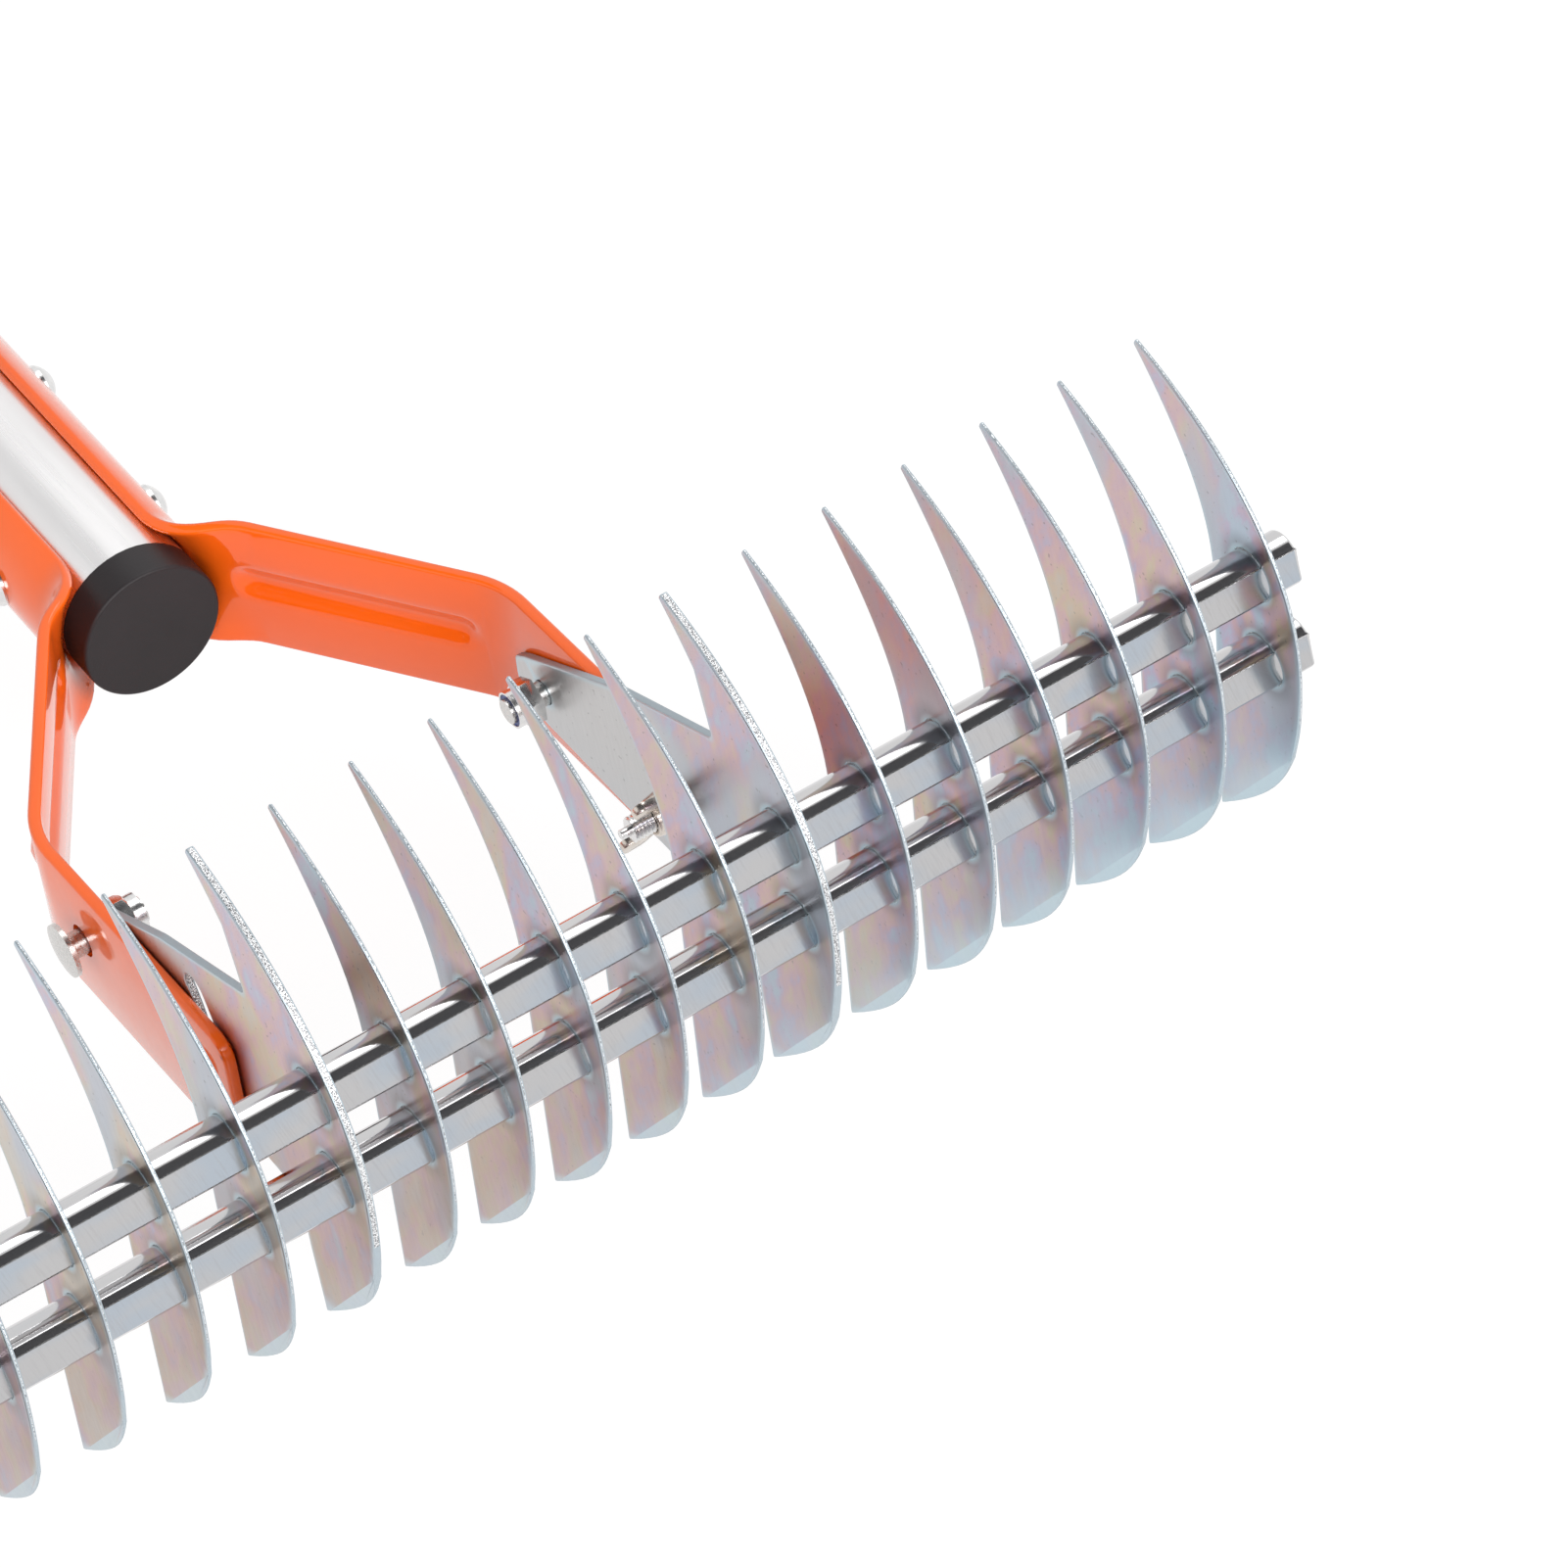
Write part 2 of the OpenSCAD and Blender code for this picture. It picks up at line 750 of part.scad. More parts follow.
module pivot_bolt_right() {
    pivot_bolt(1);
}

module pivot_nut_left() {
    pivot_nut(-1);
}

module pivot_nut_right() {
    pivot_nut(1);
}

module nut_insert_left() {
    nut_insert(-1);
}

module nut_insert_right() {
    nut_insert(1);
}

module lock_bolt_left() {
    lock_bolt(-1);
}

module lock_bolt_right() {
    lock_bolt(1);
}

module wing_nut_left() {
    wing_nut(-1);
}

module wing_nut_right() {
    wing_nut(1);
}

module rod_upper() {
    flatted_rod(upper_rod);
}

module rod_lower() {
    flatted_rod(lower_rod);
}

module ear_blade_left() {
    ear_blade(-1);
}

module ear_blade_right() {
    ear_blade(1);
}

module blade_middle() {
    plain_blade(0);
}

module blade_left_1() {
    plain_blade(-1);
}

module blade_left_2() {
    plain_blade(-2);
}

module blade_left_4() {
    plain_blade(-4);
}

module blade_left_5() {
    plain_blade(-5);
}

module blade_left_6() {
    plain_blade(-6);
}

module blade_left_7() {
    plain_blade(-7);
}

module blade_left_8() {
    plain_blade(-8);
}

module blade_left_9() {
    plain_blade(-9);
}

module blade_right_1() {
    plain_blade(1);
}

module blade_right_2() {
    plain_blade(2);
}

module blade_right_4() {
    plain_blade(4);
}

module blade_right_5() {
    plain_blade(5);
}

module blade_right_6() {
    plain_blade(6);
}

module blade_right_7() {
    plain_blade(7);
}

module blade_right_8() {
    plain_blade(8);
}

module blade_right_9() {
    plain_blade(9);
}

handle_tube_lower();
handle_tube_middle();
handle_tube_upper();
handle_joint_screws();
hand_grip();
grip_end_plug();
tube_end_cap();
fork_arm_left();
fork_arm_right();
fork_rivets();
pivot_bolt_left();
pivot_bolt_right();
pivot_nut_left();
pivot_nut_right();
nut_insert_left();
nut_insert_right();
lock_bolt_left();
lock_bolt_right();
wing_nut_left();
wing_nut_right();
rod_upper();
rod_lower();
ear_blade_left();
ear_blade_right();
blade_middle();
blade_left_1();
blade_left_2();
blade_left_4();
blade_left_5();
blade_left_6();
blade_left_7();
blade_left_8();
blade_left_9();
blade_right_1();
blade_right_2();
blade_right_4();
blade_right_5();
blade_right_6();
blade_right_7();
blade_right_8();
blade_right_9();
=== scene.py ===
import json
import math

import bpy
from mathutils import Matrix, Vector
from mathutils.kdtree import KDTree


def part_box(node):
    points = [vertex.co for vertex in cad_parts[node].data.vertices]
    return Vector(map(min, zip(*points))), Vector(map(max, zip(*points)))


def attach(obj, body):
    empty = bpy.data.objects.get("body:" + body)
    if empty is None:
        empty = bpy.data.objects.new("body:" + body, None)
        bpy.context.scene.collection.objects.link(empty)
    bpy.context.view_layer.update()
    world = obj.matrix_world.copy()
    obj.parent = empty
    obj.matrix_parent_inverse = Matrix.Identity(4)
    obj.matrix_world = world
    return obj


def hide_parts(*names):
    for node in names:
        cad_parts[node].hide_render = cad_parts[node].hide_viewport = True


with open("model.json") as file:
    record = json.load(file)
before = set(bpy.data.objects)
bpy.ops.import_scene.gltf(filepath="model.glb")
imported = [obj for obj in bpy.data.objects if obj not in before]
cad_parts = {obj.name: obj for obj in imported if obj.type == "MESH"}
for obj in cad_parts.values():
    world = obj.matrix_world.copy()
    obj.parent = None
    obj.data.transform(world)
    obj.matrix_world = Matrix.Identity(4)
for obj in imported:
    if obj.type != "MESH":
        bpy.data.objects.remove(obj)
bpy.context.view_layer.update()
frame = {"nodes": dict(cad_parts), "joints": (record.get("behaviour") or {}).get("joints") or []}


# Handle tubes: three lengths of stainless tube, drawn and then buffed along their length.
# The two lower ones end in a reduced neck that is pushed into the next tube.
class Wire:
    """A shader socket that can be added, multiplied and handed on to other nodes."""

    def __init__(self, tree, socket=None):
        self.tree = tree
        self.socket = socket

    def fill(self, made, sockets):
        """Links or sets the sockets of a node."""
        for name, value in sockets.items():
            if isinstance(value, Wire):
                self.tree.links.new(value.socket, made.inputs[name])
            else:
                made.inputs[name].default_value = value

    def node(self, kind, settings=None, sockets=None, out=0):
        """Adds a node, with its settings first and then its sockets, and gives one output."""
        made = self.tree.nodes.new(kind)
        for name, value in (settings or {}).items():
            if name == "stops":
                stops = made.color_ramp.elements
                stops.remove(stops[1])
                stops[0].position = value[0][0]
                stops[0].color = (*value[0][1], 1)
                for at, colour in value[1:]:
                    stops.new(at).color = (*colour, 1)
            else:
                setattr(made, name, value)
        self.fill(made, sockets or {})
        return Wire(self.tree, made.outputs[out])

    def math(self, operation, left, right):
        return self.node("ShaderNodeMath", {"operation": operation}, {0: left, 1: right})

    def __add__(self, other):
        return self.math("ADD", self, other)

    __radd__ = __add__

    def __sub__(self, other):
        return self.math("SUBTRACT", self, other)

    def __rsub__(self, other):
        return self.math("SUBTRACT", other, self)

    def __mul__(self, other):
        return self.math("MULTIPLY", self, other)

    __rmul__ = __mul__

    def step(self, low, high):
        """0 below low and 1 above high, with a soft change between them."""
        return self.node("ShaderNodeMapRange", {"interpolation_type": "SMOOTHSTEP"},
                         {"Value": self, "From Min": low, "From Max": high})

    def tint(self, first, second):
        """The first colour where this value is 0 and the second where it is 1."""
        return self.node("ShaderNodeMix", {"data_type": "RGBA", "clamp_factor": True},
                         {0: self, 6: first, 7: second}, out=2)

    def noise(self, scale, detail, turn=(0, 0, 0)):
        """Cloudy values around 0.5, with scale in features per metre along X, Y and Z."""
        place = self.node("ShaderNodeTexCoord", out="Object")
        place = self.node("ShaderNodeMapping", {"vector_type": "POINT"},
                          {"Vector": place, "Rotation": turn})
        place = self.node("ShaderNodeVectorMath", {"operation": "MULTIPLY"}, {0: place, 1: scale})
        return self.node("ShaderNodeTexNoise", {},
                         {"Vector": place, "Scale": 1.0, "Detail": detail})

    def bump(self, height, depth):
        """A normal that follows a height of 0 to 1, with its depth in metres."""
        return self.node("ShaderNodeBump", {},
                         {"Height": height, "Distance": depth, "Strength": 1.0})

    def surface(self, sockets):
        self.fill(self.tree.nodes["Principled BSDF"], sockets)


def new_finish(name):
    """A new material, and a wire that adds nodes to it."""
    material = bpy.data.materials.new(name)
    material.use_nodes = True
    return material, Wire(material.node_tree)


def dress(material, *nodes):
    """Gives a finish to solids that keep their shape."""
    for node in nodes:
        mesh = frame["nodes"][node].data
        mesh.materials.clear()
        mesh.materials.append(material)


stainless, wire = new_finish("stainless")
buffing = wire.noise((900, 7, 900), 4)
cloud = wire.noise((90, 12, 90), 3)
wire.surface({
    "Metallic": 1.0,
    "Base Color": cloud.tint((0.66, 0.65, 0.65, 1), (0.92, 0.91, 0.91, 1)),
    "Roughness": 0.2 + 0.18 * buffing,
    "Normal": wire.bump(buffing, 0.00002),
})
dress(stainless, "handle_tube_lower", "handle_tube_middle", "handle_tube_upper")


# Cross screws: one zinc plated round-headed screw through each tube joint.
# The same bright plating is on the rivets, the nuts and the threads further on.
bright_zinc, wire = new_finish("bright_zinc")
patch = wire.noise((600, 600, 600), 3)
wire.surface({
    "Metallic": 1.0,
    "Base Color": patch.tint((0.62, 0.62, 0.63, 1), (0.86, 0.85, 0.83, 1)),
    "Roughness": 0.1 + 0.22 * patch,
    "Normal": wire.bump(patch, 0.00004),
})
dress(bright_zinc, "handle_joint_screws")


# Hand grip: a soft black sleeve pushed over the end of the upper tube, moulded with shallow
# finger grooves and a fine matt texture.
soft_black, wire = new_finish("soft_black")
grain = wire.noise((1800, 1800, 1800), 2)
scuff = wire.noise((40, 18, 40), 4)
wire.surface({
    "Base Color": scuff.tint((0.010, 0.010, 0.011, 1), (0.026, 0.025, 0.026, 1)),
    "Roughness": 0.62 + 0.25 * grain,
    "Normal": wire.bump(grain, 0.00012),
})
dress(soft_black, "hand_grip")


# End cap and end plug: black moulded plastic, pushed into the two ends of the handle.
# The faces have a fine spark-eroded texture that takes a soft shine.
black_plastic, wire = new_finish("black_plastic")
spark = wire.noise((2600, 2600, 2600), 1)
haze = wire.noise((50, 50, 50), 3)
wire.surface({
    "Base Color": haze.tint((0.011, 0.009, 0.010, 1), (0.024, 0.019, 0.021, 1)),
    "Roughness": 0.38 + 0.14 * haze,
    "Normal": wire.bump(spark, 0.00003),
    "Specular IOR Level": 0.28,
})
dress(black_plastic, "tube_end_cap", "grip_end_plug")


# Fork arms: two strips of steel plate, pressed into a channel round the tube, a ribbed flare
# and a flat end, then powder coated. The blanked edges are rounded under the thick coating.
coat_depth = 0.0009


def start_edit(piece):
    """Opens a piece for editing, with nothing selected."""
    bpy.ops.object.select_all(action="DESELECT")
    bpy.context.view_layer.objects.active = piece
    piece.select_set(True)
    bpy.ops.object.mode_set(mode="EDIT")
    bpy.ops.mesh.select_all(action="DESELECT")


def merged_copy(node, name, flatten=False):
    """A copy of a solid's mesh, with quads on curved faces or one face for each flat."""
    piece = bpy.data.objects.new(name, frame["nodes"][node].data.copy())
    bpy.context.scene.collection.objects.link(piece)
    start_edit(piece)
    bpy.ops.mesh.customdata_custom_splitnormals_clear()
    bpy.ops.mesh.select_all(action="SELECT")
    bpy.ops.mesh.remove_doubles(threshold=0.000002)
    if flatten:
        bpy.ops.mesh.dissolve_limited(angle_limit=math.radians(0.5))
    else:
        bpy.ops.mesh.tris_convert_to_quads(face_threshold=0.6, shape_threshold=0.6)
    bpy.ops.object.mode_set(mode="OBJECT")
    piece.data.materials.clear()
    return piece


def break_edges(piece, width, segments, sharper, keep=lambda middle: True, clamp=False):
    """Rounds the edges that are sharper than an angle in degrees and whose middle is kept."""
    bpy.ops.object.mode_set(mode="EDIT")
    bpy.ops.mesh.select_mode(type="EDGE")
    bpy.ops.mesh.select_all(action="DESELECT")
    bpy.ops.mesh.edges_select_sharp(sharpness=math.radians(sharper))
    bpy.ops.object.mode_set(mode="OBJECT")
    mesh = piece.data
    for edge in mesh.edges:
        if edge.select:
            ends = [mesh.vertices[i].co for i in edge.vertices]
            edge.select = keep((ends[0] + ends[1]) / 2)
    bpy.ops.object.mode_set(mode="EDIT")
    bpy.ops.mesh.bevel(offset=width, segments=segments, profile=0.5, clamp_overlap=clamp)
    bpy.ops.object.mode_set(mode="OBJECT")


orange_coat, wire = new_finish("orange_coat")
peel = wire.noise((260, 260, 260), 2)
depth = wire.noise((18, 18, 18), 2)
wire.surface({
    "Base Color": depth.tint((0.88, 0.112, 0.004, 1), (0.95, 0.134, 0.006, 1)),
    "Roughness": 0.34 + 0.1 * peel,
    "Normal": wire.bump(peel, 0.000025),
    "Specular IOR Level": 0.05,
    "Coat Weight": 1.0,
    "Coat Roughness": 0.06,
    "Coat IOR": 1.48,
})

joint_place = {joint["name"]: Vector(joint["pos_m"]) for joint in frame["joints"]}
pivot_place = joint_place["head_tilt"]
lock_place = joint_place["wing_nut_right_turn"]
rivet_head_r = 0.0052
rivet_height = 0.039
rivet_room = 0.008
rivet_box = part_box("fork_rivets")
rivet_rows = [rivet_box[0].y + rivet_head_r, rivet_box[1].y - rivet_head_r]
channel_half = 0.03
hole_room = 0.0065


def away_from_holes(place):
    """Whether a place on an arm is clear of the bolt holes and the rivet holes."""
    for hole in (pivot_place, lock_place):
        if math.hypot(place.y - hole.y, place.z - hole.z) < hole_room:
            return False
    if abs(place.x) > channel_half or abs(place.z - rivet_height) > rivet_room:
        return True
    return all(abs(place.y - row) > hole_room for row in rivet_rows)


for side in ("left", "right"):
    arm = merged_copy("fork_arm_" + side, "pressed_arm_" + side)
    break_edges(arm, coat_depth, segments=3, sharper=50, keep=away_from_holes)
    bpy.ops.object.shade_smooth_by_angle(angle=math.radians(38))
    arm.data.materials.append(orange_coat)
    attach(arm, "handle")
    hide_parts("fork_arm_" + side)


# Rivets, pivot bolts and lock nuts: bright zinc plated steel. The bolt heads are pressed flat
# and left dull, and each nut has a blue nylon ring set in its collar.
nut_chamfer = 0.00018

dress(bright_zinc, "fork_rivets")
for side in ("left", "right"):
    lock_nut = merged_copy("pivot_nut_" + side, "chamfered_nut_" + side, flatten=True)
    break_edges(lock_nut, nut_chamfer, segments=2, sharper=40, clamp=True)
    bpy.ops.object.shade_smooth_by_angle(angle=math.radians(28))
    lock_nut.data.materials.append(bright_zinc)
    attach(lock_nut, "handle")
    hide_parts("pivot_nut_" + side)

dull_zinc, wire = new_finish("dull_zinc")
speckle = wire.noise((1500, 1500, 1500), 4)
wire.surface({
    "Metallic": 1.0,
    "Base Color": speckle.tint((0.42, 0.41, 0.40, 1), (0.80, 0.79, 0.77, 1)),
    "Roughness": 0.16 + 0.24 * speckle,
    "Normal": wire.bump(speckle, 0.00005),
})
dress(dull_zinc, "pivot_bolt_left", "pivot_bolt_right")

blue_nylon, wire = new_finish("blue_nylon")
flow = wire.noise((900, 900, 900), 2)
wire.surface({
    "Base Color": flow.tint((0.012, 0.035, 0.2, 1), (0.03, 0.08, 0.36, 1)),
    "Roughness": 0.3 + 0.15 * flow,
})
dress(blue_nylon, "nut_insert_left", "nut_insert_right")


# Lock bolts: low domed heads coated with the arms, and a bare zinc plated thread that runs
# through the ear's slot to a short turned pin.
thread_r = 0.003
thread_pitch = 0.001
thread_depth = 0.0005
crest_from, crest_to = 0.35 * thread_pitch, 0.65 * thread_pitch
spare_turns = 4
dome_r = 0.0069
dome_sink = 0.0042
pin_r = 0.00115
pin_length = 0.0024
pin_root = 0.001
pin_break = 0.0002
thread_in_head = 0.0005
merge_gap = 0.00001
head_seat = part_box("lock_bolt_right")[1].x - (dome_r - dome_sink)
pin_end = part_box("lock_bolt_right")[0].x


def bisect_at(x, keep_inside):
    """Cuts the open piece at x, keeps the side below or above it, and closes the cut."""
    bpy.ops.mesh.select_all(action="SELECT")
    bpy.ops.mesh.bisect(plane_co=(x, 0, 0), plane_no=(1, 0, 0), use_fill=True,
                        clear_outer=keep_inside, clear_inner=not keep_inside)


def active_piece(name):
    """The piece that was just made, under its name."""
    piece = bpy.context.view_layer.objects.active
    piece.name = name
    return piece


def lock_bolt_right():
    """Head, pin and thread of the right lock bolt, joined."""
    bpy.ops.object.select_all(action="DESELECT")
    bpy.ops.mesh.primitive_uv_sphere_add(
        segments=48, ring_count=48, radius=dome_r, rotation=(0, math.pi / 2, 0),
        location=(head_seat - dome_sink, lock_place.y, lock_place.z))
    head = active_piece("lock_head")
    bpy.ops.object.transform_apply()
    start_edit(head)
    bisect_at(head_seat, keep_inside=False)
    bpy.ops.object.mode_set(mode="OBJECT")
    head.data.materials.append(orange_coat)

    bpy.ops.object.select_all(action="DESELECT")
    bpy.ops.mesh.primitive_cylinder_add(
        vertices=32, radius=pin_r, depth=pin_length + pin_root, rotation=(0, math.pi / 2, 0),
        location=(pin_end + (pin_length + pin_root) / 2, lock_place.y, lock_place.z))
    pin = active_piece("lock_pin")
    bpy.ops.object.transform_apply()
    break_edges(pin, pin_break, segments=2, sharper=60,
                keep=lambda middle: middle.x < pin_end + pin_break)
    pin.data.materials.append(bright_zinc)

    thread_from = pin_end + pin_length
    turns = int((head_seat - thread_from) / thread_pitch) + spare_turns
    bpy.ops.object.select_all(action="DESELECT")
    bpy.ops.mesh.primitive_plane_add(size=0.001)
    thread = active_piece("lock_thread")
    start_edit(thread)
    bpy.ops.mesh.select_all(action="SELECT")
    bpy.ops.mesh.delete(type="ONLY_FACE")
    bpy.ops.object.mode_set(mode="OBJECT")
    corners = [(thread_r - thread_depth, 0), (thread_r, crest_from),
               (thread_r, crest_to), (thread_r - thread_depth, thread_pitch)]
    order = [0, 1, 3, 2]
    for vertex, corner in zip(order, corners):
        thread.data.vertices[vertex].co = (corner[0], 0, corner[1])
    start_edit(thread)
    bpy.ops.mesh.select_mode(type="EDGE")
    bpy.ops.object.mode_set(mode="OBJECT")
    for edge in thread.data.edges:
        edge.select = set(edge.vertices) == {order[0], order[3]}
    bpy.ops.object.mode_set(mode="EDIT")
    bpy.ops.mesh.delete(type="EDGE")
    bpy.ops.object.mode_set(mode="OBJECT")
    screw = thread.modifiers.new("thread", "SCREW")
    screw.axis = "Z"
    screw.screw_offset = thread_pitch
    screw.iterations = turns
    screw.steps = screw.render_steps = 28
    screw.use_merge_vertices = True
    screw.merge_threshold = merge_gap
    bpy.ops.object.modifier_apply(modifier="thread")
    thread.rotation_euler = (0, math.pi / 2, 0)
    thread.location = (thread_from - 1.2 * thread_pitch, lock_place.y, lock_place.z)
    bpy.ops.object.transform_apply()
    start_edit(thread)
    bpy.ops.mesh.select_all(action="SELECT")
    bpy.ops.mesh.remove_doubles(threshold=merge_gap)
    bisect_at(thread_from, keep_inside=False)
    bisect_at(head_seat + thread_in_head, keep_inside=True)
    bpy.ops.mesh.select_all(action="SELECT")
    bpy.ops.mesh.normals_make_consistent(inside=False)
    bpy.ops.object.mode_set(mode="OBJECT")
    thread.data.materials.append(bright_zinc)

    bpy.ops.object.select_all(action="DESELECT")
    for part in (head, pin, thread):
        part.select_set(True)
    bpy.context.view_layer.objects.active = thread
    bpy.ops.object.join()
    bpy.ops.object.shade_smooth_by_angle(angle=math.radians(35))
    return active_piece("lock_screw_right")


def mirrored_copy(piece, name):
    """The left-hand twin of a right-hand piece, with its faces pointing outwards."""
    twin = piece.copy()
    twin.data = piece.data.copy()
    twin.name = name
    bpy.context.scene.collection.objects.link(twin)
    twin.scale.x = -1
    bpy.ops.object.select_all(action="DESELECT")
    bpy.context.view_layer.objects.active = twin
    twin.select_set(True)
    bpy.ops.object.transform_apply()
    start_edit(twin)
    bpy.ops.mesh.select_all(action="SELECT")
    bpy.ops.mesh.normals_make_consistent(inside=False)
    bpy.ops.object.mode_set(mode="OBJECT")
    return twin


lock_screw = lock_bolt_right()
lock_screw_twin = mirrored_copy(lock_screw, "lock_screw_left")
for screw, side in ((lock_screw, "right"), (lock_screw_twin, "left")):
    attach(screw, "handle")
    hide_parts("lock_bolt_" + side)


# Wing nuts: cast with rounded wings, then tapped and nickel plated.
# They run on the lock bolts and clamp the ears against the arms.
casting_round = 0.0003

nickel, wire = new_finish("nickel")
casting = wire.noise((420, 420, 420), 3)
wire.surface({
    "Metallic": 1.0,
    "Base Color": casting.tint((0.52, 0.46, 0.40, 1), (0.80, 0.74, 0.68, 1)),
    "Roughness": 0.12 + 0.2 * casting,
    "Normal": wire.bump(casting, 0.00008),
})
for side in ("left", "right"):
    wing_nut = merged_copy("wing_nut_" + side, "cast_wing_nut_" + side)
    break_edges(wing_nut, casting_round, segments=2, sharper=50)
    bpy.ops.object.shade_smooth_by_angle(angle=math.radians(38))
    wing_nut.data.materials.append(nickel)
    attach(wing_nut, "wing_nut_" + side)
    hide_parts("wing_nut_" + side)


# Rods: two bright drawn bars through all the blades, each planed flat along the front so that
# the blades stay in line. The ends are sawn and lightly broken.
rod_r = 0.0065
flat_depth = 0.0013
end_break = 0.0006
flat_turn = math.radians(16.93)
rod_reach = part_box("rod_upper")[1].x
rod_middles = {"rod_upper": (-0.71981, 0.08424), "rod_lower": (-0.72369, 0.06116)}
flat_normal = Vector((0, -math.cos(flat_turn), math.sin(flat_turn)))

bright_bar, wire = new_finish("bright_bar")
drawn = wire.noise((12, 900, 900), 3)
stain = wire.noise((70, 200, 200), 3)
cutter = wire.noise((2000, 260, 150), 3, turn=(0, math.radians(14), 0))
cast = wire.noise((45, 90, 90), 2).step(0.35, 0.65)
planed = wire.node("ShaderNodeAttribute", {"attribute_name": "planed"}, out="Fac")
round_colour = stain.tint((0.54, 0.55, 0.57, 1), (0.68, 0.66, 0.65, 1))
flat_colour = cast.tint((0.43, 0.475, 0.53, 1), (0.50, 0.495, 0.50, 1))
flat_colour = (0.2 * cutter.step(0.45, 0.75)).tint(flat_colour, (0.36, 0.35, 0.35, 1))
wire.surface({
    "Metallic": 1.0,
    "Base Color": planed.tint(round_colour, flat_colour),
    "Roughness": 0.05 + 0.12 * drawn + 0.2 * planed * cutter,
    "Normal": wire.bump(drawn + 0.5 * planed * cutter, 0.00001),
})
for node, (rod_y, rod_z) in rod_middles.items():
    bpy.ops.object.select_all(action="DESELECT")
    bpy.ops.mesh.primitive_cylinder_add(
        vertices=144, radius=rod_r, depth=2 * rod_reach, rotation=(0, math.pi / 2, 0),
        location=(0, rod_y, rod_z))
    rod = active_piece("flatted_" + node)
    bpy.ops.object.transform_apply()
    start_edit(rod)
    bpy.ops.mesh.select_all(action="SELECT")
    flat_middle = Vector((0, rod_y, rod_z)) + flat_normal * (rod_r - flat_depth)
    bpy.ops.mesh.bisect(plane_co=flat_middle, plane_no=flat_normal, use_fill=True,
                        clear_outer=True)
    break_edges(rod, end_break, segments=2, sharper=60,
                keep=lambda middle: abs(middle.x) > rod_reach - end_break)
    bpy.ops.object.shade_smooth_by_angle(angle=math.radians(20))
    on_flat = rod.data.attributes.new("planed", "FLOAT", "FACE").data
    for face in rod.data.polygons:
        on_flat[face.index].value = float(face.normal.dot(flat_normal) > 0.9999)
    rod.data.materials.append(bright_bar)
    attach(rod, "head")
    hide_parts(node)


# Blades: crescents stamped from sheet steel and tumbled, with a ground facet along the heel,
# then zinc plated and passivated to a thin iridescent film that thins to pale blue at the heels,
# with a painted highlight along the rims. The upper front edge keeps the bright grain of the
# shear.
edge_break = 0.0004
heel_break = 0.00012
sliver = 0.00003
hole_r = rod_r + 0.0005
facet_start = (-0.70813, 0.00254)
facet_end = (-0.73415, 0.03877)
facet_length = math.hypot(facet_end[0] - facet_start[0], facet_end[1] - facet_start[1])
facet_ahead = ((facet_start[1] - facet_end[1]) / facet_length,
               (facet_end[0] - facet_start[0]) / facet_length)
facet_room = 0.0006
shear_above = 0.05
face_tilt = 0.8
facet_tilt = 0.985
shear_tilt = 0.3
shear_front = 0.15

iridescent_zinc, wire = new_finish("iridescent_zinc")
rolling = math.radians(12)
place = wire.node("ShaderNodeTexCoord", out="Object")
along, back, height = [
    wire.node("ShaderNodeSeparateXYZ", {}, {0: place}, out=axis) for axis in "XYZ"]

# The film's colour goes with its thickness, in patches along the rolling of the sheet
strokes = wire.noise((61, 230, 90), 3, turn=(math.radians(-28), 0, 0))
film = wire.noise((61, 80, 24), 4, turn=(rolling, 0, 0)) + 0.55 * strokes - 0.24 - 0.5 * along
patches = wire.noise((43, 32, 22), 2)
fine = wire.noise((300, 900, 160), 3, turn=(rolling, 0, 0))
film_colour = wire.node("ShaderNodeValToRGB", {"stops": [
    (0.30, (0.40, 0.51, 0.61)),
    (0.40, (0.46, 0.41, 0.55)),
    (0.48, (0.56, 0.385, 0.44)),
    (0.56, (0.60, 0.415, 0.40)),
    (0.64, (0.58, 0.47, 0.33)),
    (0.74, (0.54, 0.49, 0.40)),
]}, {"Fac": film})
face_colour = patches.step(0.30, 0.50).tint((0.42, 0.47, 0.53, 1), film_colour)
# The blades are darker towards the bottom and paler towards the top
darker_low = 1 - height.step(0.0, 0.1)
paler_high = height.step(0.07, 0.12)
face_colour = (0.3 * paler_high).tint(face_colour, (0.66, 0.60, 0.64, 1))
face_colour = (0.3 * darker_low).tint(face_colour, (0.20, 0.155, 0.16, 1))
# The ears keep a plain grey zinc
bare = back.step(-0.690, -0.664) * (1 - height.step(0.075, 0.085))
face_colour = bare.tint(face_colour, fine.tint((0.46, 0.47, 0.47, 1), (0.60, 0.61, 0.61, 1)))

